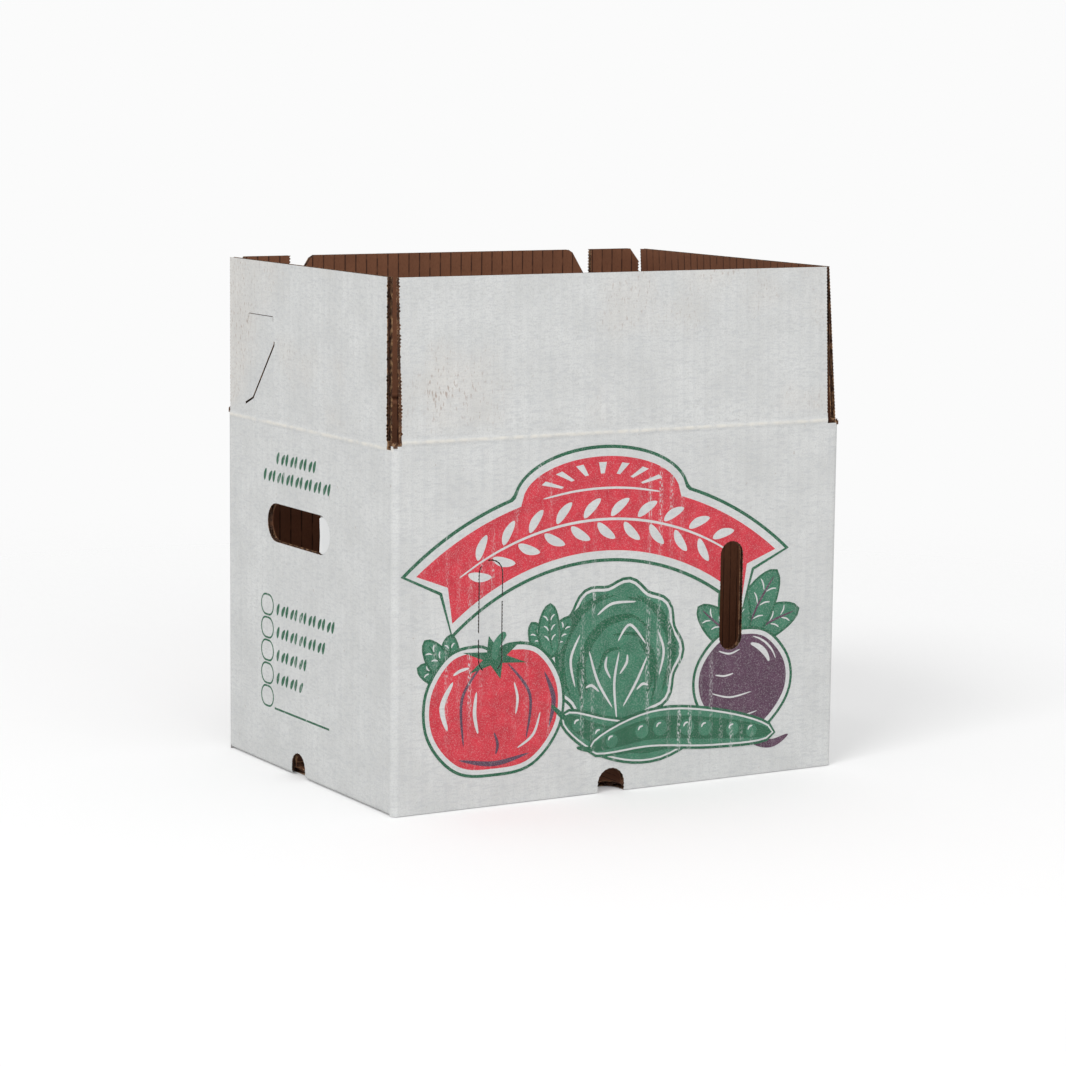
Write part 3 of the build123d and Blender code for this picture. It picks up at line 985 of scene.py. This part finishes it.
def draw_cabbage(wall, x, z, size):
    rim = [(40 + 2.0 * math.cos(math.radians(9 * a))) for a in range(0, 360, 5)]
    edge = [(r * math.cos(math.radians(5 * k)), r * math.sin(math.radians(5 * k))) for k, r in enumerate(rim)]
    badge(wall, 1, "leaf", at(x, z, edge, size), 1.8)
    shades = [
        ([(-33, -18), (-38, 4), (-26, 26), (-6, 36)], 7),
        ([(30, -24), (37, 0), (28, 22), (12, 34)], 6),
        ([(-16, -35), (2, -39), (20, -34)], 5),
        ([(-20, -20), (-23, 0), (-10, 18), (8, 21)], 6),
        ([(20, -24), (24, -6), (14, 8)], 5),
    ]
    field(wall, 3, "green", *(at(x, z, stroke(patch, width, 0.8), size) for patch, width in shades))
    folds = [
        [(-31, -22), (-37, 2), (-24, 27), (-2, 35)],
        [(33, -19), (37, 4), (25, 26), (6, 33)],
        [(-22, -31), (-26, -4), (-12, 18), (9, 22), (22, 12)],
        [(23, -30), (26, -8), (15, 10), (-4, 12)],
        [(-13, -10), (-8, 2), (2, 4)],
    ]
    field(wall, 4, "green", *(at(x, z, stroke(fold, 2.4), size) for fold in folds))
    veins = [
        [(0, -37), (-2, -16), (1, 2)],
        [(-3, -30), (-13, -14), (-19, 4)],
        [(4, -30), (13, -16), (20, -2)],
        [(-28, -16), (-31, 0), (-25, 14)],
        [(-14, 24), (-4, 30), (12, 30)],
        [(0, 8), (8, 17), (19, 5)],
        [(28, -14), (31, 0), (27, 12)],
        [(-12, -20), (-17, -16), (-21, -17)],
        [(13, -21), (17, -18), (21, -19)],
        [(-4.5, -13), (-8, -6), (-7, 0)],
        [(1.5, -11), (6, -5), (6.5, 0)],
    ]
    field(wall, 5, "paper", *(at(x, z, stroke(vein, 1.6), size) for vein in veins))


def draw_tomato(wall, level, x, z, size):
    skin = [(0, 24), (-9, 28), (-24, 25), (-35, 9), (-34, -11), (-20, -27), (0, -30), (20, -27), (34, -11), (35, 9)]
    badge(wall, level, "red", at(x, z, curve(skin + [(24, 25), (9, 28)]), size), 3)
    creases = ([(-7, 22), (-18, 6), (-17, -18)], [(7, 22), (20, 5), (18, -17)], [(0, -12), (2, -18), (1, -23)])
    field(wall, level + 2, "purple", *(at(x, z, stroke(crease, 1.6), size) for crease in creases))
    patches = ([(-20, -24), (0, -27.5), (20, -24)], [(31, -12), (33.5, 2), (28, 16)])
    field(wall, level + 3, "purple", *(at(x, z, stroke(patch, 2.6, 0.8), size) for patch in patches))
    shines = [
        ([(-23, 15), (-29, 3), (-26, -9)], 2.8),
        ([(-10, 9), (-11, -2), (-9, -12)], 2.0),
        ([(13, -21), (22, -15), (26, -4)], 1.4),
        ([(11, 12), (13, 4), (12, -4)], 1.4),
        ([(-14, 21), (-19, 20), (-23, 18)], 1.6),
    ]
    field(wall, level + 4, "paper", *(at(x, z, stroke(shine, width), size) for shine, width in shines))
    star = []
    for k in range(12):
        reach, turn = (1.0 if k % 2 else 0.35), math.radians(30 * k + 10)
        star.append((19 * reach * math.cos(turn), 25 + 11 * reach * math.sin(turn)))
    field(wall, level + 5, "green", at(x, z, star, size))
    field(wall, level + 6, "leaf", at(x, z, stroke([(0, 24), (1, 31), (6, 37)], 4.2, 0.3), size))


def draw_beet(wall, level, x, z, size):
    fan(wall, 1, x, z + 22 * size, [(22, 46, 20), (146, 42, 19), (60, 50, 24), (104, 48, 22)], "purple")
    root = [(0, 25), (-15, 22), (-27, 8), (-27, -8), (-15, -23), (0, -29), (15, -23), (27, -8), (27, 8), (15, 22)]
    badge(wall, level, "purple", at(x, z, curve(root), size), 3)
    field(wall, level + 2, "purple", at(x, z, stroke([(0, -26), (8, -34), (20, -37), (31, -33)], 5, 0.7), size))
    pale = [stroke([(-20, -6), (-8, -9), (6, -7)], 1), stroke([(-13, -17), (-2, -20), (10, -18)], 1)]
    pale += [stroke([(-16, 17), (-9, 15), (-2, 17)], 1), stroke([(-18, 4), (-12, 3), (-6, 4)], 1)]
    for reach, width in ((18, 3.2), (22.5, 1.2)):
        line = [(reach * math.cos(a / 10), 4 + reach * 0.9 * math.sin(a / 10)) for a in range(3, 14, 2)]
        pale.append(stroke(line, width))
    field(wall, level + 2, "paper", *(at(x, z, mark, size) for mark in pale))


def draw_pod(wall, level, knots):
    badge(wall, level, "leaf", stroke(knots, 23, 0.6), 1.2, 1.7)
    field(wall, level + 2, "green", stroke(knots, 15, 0.5))
    spine = curve(knots, False)
    peas, shines = [], []
    for share in (0.16, 0.28, 0.4, 0.52, 0.64, 0.75, 0.86):
        x, z = spine[round(share * (len(spine) - 1))]
        radius = 5.4 * math.sin(math.pi * (share * 0.8 + 0.1)) ** 0.5
        pea = [(radius * math.cos(math.radians(a)), radius * math.sin(math.radians(a))) for a in range(0, 360, 15)]
        peas.append(at(x, z, pea))
        shines.append(at(x, z, stroke([(-2.8, 0.6), (-1.6, 2.7), (0.8, 3.2)], 1.3)))
    field(wall, level + 3, "leaf", *peas)
    field(wall, level + 4, "paper", *shines)
    end, inward = Vector(knots[0]), (Vector(knots[1]) - Vector(knots[0])).normalized()
    tip = end - inward * 10 + Vector((0, 4))
    field(wall, level + 3.5, "green", stroke([tuple(end + inward * 6), tuple(end), tuple(tip)], 3.4, 0.5))


draw_ribbon("front")
fan("front", 1, -122, 86, [(168, 26, 12), (98, 24, 12), (134, 30, 14)])
fan("front", 7, -52, 92, [(60, 26, 12), (126, 26, 12), (94, 32, 14)])
draw_cabbage("front", -4, 88, 1.12)
draw_tomato("front", 16, -94, 62, 1.28)
draw_beet("front", 13, 92, 64, 1.2)
draw_pod("front", 23, [(-44, 52), (-12, 36), (28, 30), (70, 44)])
draw_pod("front", 28, [(-24, 29), (22, 38), (70, 34), (116, 27)])
print("front print,", len(printed["front"]), "fields")

# %% [markdown]
# The end walls have five tick ovals for the contents, each with a row of leaves in place of a word and the last
# with a rule to write on, and two more leaf rows over the hand hole.


# %% Tick ovals and leaf rows
def leaf_row(wall, x, z, count, length=8.8, width=3.6):
    row = [at(x + 6.6 * k, z - 3.8, leaf(length, width, 0.6), 1, 56 if k % 2 else 70) for k in range(count)]
    field(wall, 1, "green", *row)


ovals = []
for row, z in enumerate((106.7, 91.4, 76.2, 60.9, 45.7)):
    oval = stadium(-57.9, z, 16.6, 12.0)
    ovals += [grow(oval, 1.3), oval]
    if row < 4:
        leaf_row("left", -43, z - 1.5, (13, 11, 7, 6)[row])
rule = [(-47, 38.4), (32.4, 38.4), (32.4, 39.8), (-47, 39.8)]
field("left", 1, "green", *ovals)
field("left", 1, "green", rule)
leaf_row("left", -43, 204.5, 9)
leaf_row("left", -62, 192.2, 15)


# %% [markdown]
# Half a turn of the box brings each print to the opposite wall. Then every wall's punches go through its print.

# %% Copy and punch the print
for wall, other in (("front", "back"), ("left", "right")):
    only(*printed[wall])
    bpy.ops.object.duplicate()
    printed[other] = list(bpy.context.selected_objects)
    for slab in printed[other]:
        slab.matrix_basis = Matrix.Rotation(math.pi, 4, "Z") @ slab.matrix_basis
    bpy.ops.object.transform_apply(location=True, rotation=True, scale=True)
for wall, slabs in printed.items():
    for slab in slabs:
        for tool in TOOLS[wall]:
            if slab.data.vertices and meets(slab, tool):
                cut(slab, tool)
    carton_layers[wall + "_print"] = join(wall + "_print", *slabs)
    scrap(*TOOLS[wall])
    print(wall, "print,", len(carton_layers[wall + "_print"].data.polygons), "faces")

# %% [markdown]
# ## Creases
# The flaps bend where a wheel has crushed the board: the outer liner stands up there as a low ridge, and the inner
# one is pressed in. Each crease has a narrow strip of either liner, with the crushed flutes as a solid core between
# them.

# %% Crease strips
RIDGE, RIDGE_WIDTH = 0.4 * MM, 1.9 * MM
DENT, DENT_WIDTH = 1.0 * MM, 2.1 * MM
EDGE = 0.8 * MM
CREASE_ROWS, CREASE_COLUMN = 14, 3 * MM


def hat(z, width):
    """A ridge with a shallow dip on each side."""
    return (1 - (z / width) ** 2) * math.exp(-((z / width) ** 2) / 1.3)


def uneven(x, seed):
    """Slow change along a crease, as no wheel presses evenly."""
    return 1 + 0.3 * math.sin(71 * x + seed) + 0.2 * math.sin(193 * x + 2.3 * seed)


def crease_strip(wall, layer, sides):
    """One paper of a crease, CREASE_BAND to either side of it; the ridge and the dent fade at both edges."""
    half, height = SPANS[wall] / 2, CREASE_BAND
    low, high = -half + sides[0], half - sides[1]
    columns = round((high - low) / CREASE_COLUMN)
    bpy.ops.mesh.primitive_grid_add(x_subdivisions=columns, y_subdivisions=CREASE_ROWS, size=1)
    strip = bpy.context.object
    strip.name = f"{wall}_crease_{layer}"
    seed = len(wall)
    for corner in strip.data.vertices:
        corner.co = (low + (corner.co.x + 0.5) * (high - low), 0, 2 * height * corner.co.y)
    apply_modifier(strip, "SOLIDIFY", thickness=LINER if layer != "core" else BOARD - 2 * LINER, offset=-1)
    for corner in strip.data.vertices:
        x, y, z = corner.co
        share = 0.5 + z / height / 2
        depth = uneven(x, seed) * min(1, (height - abs(z)) / EDGE)
        ridge = -RIDGE * hat(z, RIDGE_WIDTH) * depth
        dent = BOARD - DENT * hat(z, DENT_WIDTH) * depth
        if layer == "outer":
            y += ridge
        elif layer == "inner":
            y = dent - y
        else:
            y = ridge + LINER if y < BOARD / 2 - LINER else dent - LINER
        lean = Matrix.Rotation(math.radians(-LEANS[wall]) * share * share * (3 - 2 * share), 3, "X")
        corner.co = lean @ Vector((x, y, z))
    if layer == "inner":
        strip.data.flip_normals()
    finish = {"outer": "white_" + ACROSS[wall], "inner": "kraft_" + ACROSS[wall], "core": "cut"}[layer]
    coat(strip, finish)
    only(strip)
    bpy.ops.object.shade_smooth_by_angle(angle=math.radians(40))
    settle(strip, PLACES[wall] @ Matrix.Translation((0, 0, CREASES[wall])))
    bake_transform(strip)
    return strip


# Known fault: the back strip is shifted the wrong way, so it ends about 8 mm short of its flap at one end.
CREASE_SIDES = {
    "front": (INSETS["front"][0], INSETS["front"][2]),
    "back": (BACK_ROOM - BACK_SHIFT, BACK_ROOM + BACK_SHIFT),
    "left": (INSETS["left"][0], INSETS["left"][2]),
    "right": (INSETS["right"][0], INSETS["right"][2]),
}


# %% Room for the creases
for wall, sides in CREASE_SIDES.items():
    half = SPANS[wall] / 2
    spaces = [(-half + sides[0], half - sides[1], CREASES[wall] - CREASE_BAND)]
    if wall in ("left", "right"):
        spaces.append((-half + CORNER, half - CORNER, CREASES[wall] - 0.5 * MM))
    for low, high, top in spaces:
        carve([outer, inner], (low, -MM, top), (high, CORNER + MM, LONG_CREASE), PLACES[wall])
print("carton layers", {name: len(item.data.polygons) for name, item in carton_layers.items()})


# %% Finishes of the walls
def paint_tube(item, outward):
    """White outside and raw inside for the outer tube, brown inside and raw outside for the inner one."""
    kind = "white" if outward else "kraft"
    coat(item, "cut", kind + "_x", kind + "_y")
    reach = 0.4 * MM if outward else BOARD - 0.4 * MM
    for face in item.data.polygons:
        normal, middle = face.normal, face.center
        flat = Vector((normal.x, normal.y, normal.z if outward and middle.z < CORNER else 0))
        away = flat.x * middle.x + flat.y * middle.y - flat.z * WIDTH / 2 > 0
        skin = flat.length > 0.6 and away == outward
        face.material_index = 0 if not skin else (2 if abs(normal.x) > abs(normal.y) + 0.3 else 1)


paint_tube(outer, True)
paint_tube(inner, False)
for name, item in carton_layers.items():
    if name in PLACES:
        coat(item, "flute")
    elif name == "crushed":
        coat(item, "cut")
    elif name == "corner_feet" or name.endswith("foot_fold"):
        coat(item, "white_y")

# %% [markdown]
# ## Hand-hole slugs
# The slug of each hand hole has been pushed in, so it hangs behind the wall on a fold. It is one more board, turned
# almost half round about the fold. Outside, the white liner runs round the fold as a half pipe, made from a
# cylinder that loses its caps and its far half. The flutes inside that bend are crushed to a lump.

# %% Slugs, folded in
SLUG_TURN = math.radians(-168)
SLUG_REACH, SLUG_HEIGHT = HAND_LENGTH - HAND_END - 0.6 * MM, HAND_HEIGHT - 1.2 * MM
FOLD_X = END_SHIFT + HAND_LENGTH / 2 - HAND_END + BOARD


def bend(name, radius, wall, white):
    """Half a cylinder round the fold: hollow and thin for the liner, solid for the crushed flutes."""
    bpy.ops.mesh.primitive_cylinder_add(vertices=36, radius=radius, depth=SLUG_HEIGHT, location=(0, 0, 0))
    pipe = settle(bpy.context.object)
    bpy.ops.object.mode_set(mode="EDIT")
    bpy.ops.mesh.select_all(action="SELECT")
    bpy.ops.mesh.bisect(plane_co=(0, 0, 0), plane_no=(1, 0, 0), clear_outer=True, use_fill=not white)
    done()
    if white:
        drop_faces(pipe, lambda middle, normal: abs(normal.z) > 0.9)
        apply_modifier(pipe, "SOLIDIFY", thickness=LINER, offset=-1)
    coat(pipe, "white_y" if white else "cut")
    return settle(pipe, PLACES[wall] @ Matrix.Translation((FOLD_X, BOARD, HAND_Z)))


for wall in ("left", "right"):
    straight, radius = SLUG_REACH - SLUG_HEIGHT / 2, SLUG_HEIGHT / 2
    outline = [(0, -radius), (0, radius)] + round_end(-straight, 0, radius, 90)
    slug = board("slug", wall, toothed(outline, set(range(1, len(outline))), FINE_TOOTH))
    turn = Matrix.Translation((0, BOARD, 0)) @ Matrix.Rotation(SLUG_TURN, 4, "Z")
    place = Matrix.Translation((FOLD_X, 0, HAND_Z)) @ turn @ Matrix.Translation((0, -BOARD, 0))
    carton_layers[wall + "_slug"] = settle(slug, PLACES[wall] @ place)
    carton_layers[wall + "_bend"] = bend("bend", BOARD, wall, True)
    carton_layers[wall + "_bend_core"] = bend("core", BOARD - LINER, wall, False)

# %% [markdown]
# Past the fold the rest of the slug stays in the wall, up to a round end that is only scored. Its liner is painted
# plain and paler than the wall's, as a painted highlight, and bending has lifted it a little at the fold.

# %% Ends of the slugs
# The slug's end gets a plain pale white with no mottling: a painted highlight for the light on its tilted face.
FINISH["pale_highlight"], _, shader = paper("pale_highlight_liner", 0.7)
shader.inputs["Base Color"].default_value = shade(214, 215, 215)
END_RADIUS = HAND_HEIGHT / 2 - 0.7 * MM
END_START = FOLD_X - 1.2 * MM
END_STRAIGHT = END_SHIFT + HAND_LENGTH / 2 - END_RADIUS - END_START
END_FRONT, END_BACK, END_LIFT = -0.12 * MM, 0.2 * MM, 0.6 * MM
ragged = [(0, END_RADIUS - MM), (0.5 * MM, 0), (0, MM - END_RADIUS), (3 * MM, -END_RADIUS)]
outline = ragged + round_end(END_STRAIGHT, 0, END_RADIUS, -90) + [(3 * MM, END_RADIUS)]
outline = [(END_START + x, HAND_Z + z) for x, z in outline]
for wall in ("left", "right"):
    slug_end = die("slug_end", outline, END_FRONT, END_BACK)
    for corner in slug_end.data.vertices:
        if corner.co.y < 0:
            corner.co.y -= END_LIFT * max(0, 1 - (corner.co.x - END_START) / END_STRAIGHT)
    coat(slug_end, "pale_highlight")
    carton_layers[wall + "_slug_end"] = settle(slug_end, PLACES[wall])

# %% [markdown]
# The slots between the flaps end in torn paper: small ragged scraps that stand on the corners.


# %% Torn scraps
TORN_FOOT, TORN_FROM, TORN_TO, TORN_THICKNESS = LONG_CREASE - 2.2 * MM, 0.9 * MM, 3.7 * MM, 0.3 * MM
TORN_SIZES = ((0.5, 2.4), (1.6, 3.2), (2.9, 2.0))  # how deep in the board and how high, in mm


def scrap_outline(x_low, x_high, height, steps=7):
    """A strip whose top goes up and down by chance."""
    width, foot = x_high - x_low, TORN_FOOT
    top = [(x_low + width * k / steps, foot + height * chance.uniform(0.3, 1)) for k in range(steps + 1)]
    return [(x_low, foot - MM), (x_high, foot - MM)] + top[::-1]


for wall in PLACES:
    half = SPANS[wall] / 2
    for side in (-1, 1):
        for depth, height in TORN_SIZES:
            ends = sorted((side * (half - TORN_FROM), side * (half - TORN_TO)))
            outline = scrap_outline(*ends, height * MM)
            torn = die("torn", outline, depth * MM, depth * MM + TORN_THICKNESS)
            coat(torn, "cut")
            carton_layers[f"{wall}_torn_{side}_{depth}"] = settle(torn, PLACES[wall])

# %% Join the walls into one piece
bpy.context.view_layer.update()
carton = join("carton_board", *carton_layers.values())
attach(carton, "carton")
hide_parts("carton")
print(carton.name, len(carton.data.polygons), "faces")

# %% Make the strips
for wall, sides in CREASE_SIDES.items():
    for layer in ("outer", "core", "inner"):
        crease_strip(wall, layer, sides)

# %% [markdown]
# ## Floor, light and camera
# A pale floor keeps the soft shadow, and to the camera it fades into the white world behind it. One large lamp
# stands to the left, another in front, and an even sky fills in. The camera is the photograph's: a long lens from
# the near corner.

# %% Floor and light
FADE_FROM, FADE_TO = 0.45, 1.3
SKY_LIGHT, BACKDROP = 0.75, 0.965
bpy.ops.mesh.primitive_plane_add(size=12, location=(0, 0, -0.0004))
floor = settle(bpy.context.object)
floor.name = "floor"
ground, tree, shader = paper("floor_white", 0.9)
shader.inputs["Base Color"].default_value = (0.8, 0.8, 0.8, 1)
shader.inputs["Emission Color"].default_value = (1, 1, 1, 1)
seen = node(tree, "ShaderNodeLightPath", {}).outputs["Is Camera Ray"]
tree.links.new(times(tree, seen, 0.15), shader.inputs["Emission Strength"])
place = node(tree, "ShaderNodeTexCoord", {}).outputs["Object"]
away = node(tree, "ShaderNodeVectorMath", {0: place}, operation="LENGTH").outputs["Value"]
reach = {"Value": away, "From Min": FADE_FROM, "From Max": FADE_TO}
fade = node(tree, "ShaderNodeMapRange", reach, interpolation_type="SMOOTHSTEP")
hidden = calc(tree, "SUBTRACT", 1.0, times(tree, fade.outputs[0], seen))
tree.links.new(hidden, shader.inputs["Alpha"])
floor.data.materials.append(ground)
floor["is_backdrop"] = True


def lamp(name, place, aim, size, power):
    bpy.ops.object.light_add(type="AREA", location=place)
    made = bpy.context.object
    made.name = name
    made.data.size = size
    made.data.energy = power
    made.rotation_euler = (Vector(aim) - Vector(place)).to_track_quat("-Z", "Y").to_euler()


lamp("key_light", (-4.2, -2.4, 5.0), (0, 0, 0.15), 2.6, 170)
lamp("front_light", (-0.8, -5.2, 2.4), (0, 0, 0.15), 4.0, 60)
world = bpy.context.scene.world or bpy.data.worlds.new("studio")
bpy.context.scene.world = world
world.use_nodes = True
sky = world.node_tree
sky.nodes.clear()
seen = node(sky, "ShaderNodeLightPath", {}).outputs["Is Camera Ray"]
strength = node(sky, "ShaderNodeMapRange", {"Value": seen, "To Min": SKY_LIGHT, "To Max": BACKDROP}).outputs[0]
background = node(sky, "ShaderNodeBackground", {"Color": (1, 1, 1, 1), "Strength": strength})
node(sky, "ShaderNodeOutputWorld", {"Surface": background.outputs[0]})
bpy.context.scene.view_settings.view_transform = "Standard"

# %% Camera
bpy.ops.object.camera_add(location=(-1.0660, -1.8206, 0.4523))
camera = bpy.context.object
camera.name = "photo_camera"
yaw, pitch, roll = math.radians(30.41), math.radians(8.13), math.radians(0.61)
forward = Vector((math.sin(yaw) * math.cos(pitch), math.cos(yaw) * math.cos(pitch), -math.sin(pitch)))
camera.rotation_euler = (forward.to_track_quat("-Z", "Y").to_matrix() @ Matrix.Rotation(roll, 3, "Z")).to_euler()
camera.data.sensor_width = 36
camera.data.lens = 108.26
bpy.context.scene.camera = camera

# %% Measure the box round what is shown, and finish
low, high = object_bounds()
print("visual box", [round(v, 4) for v in (*low, *high)])
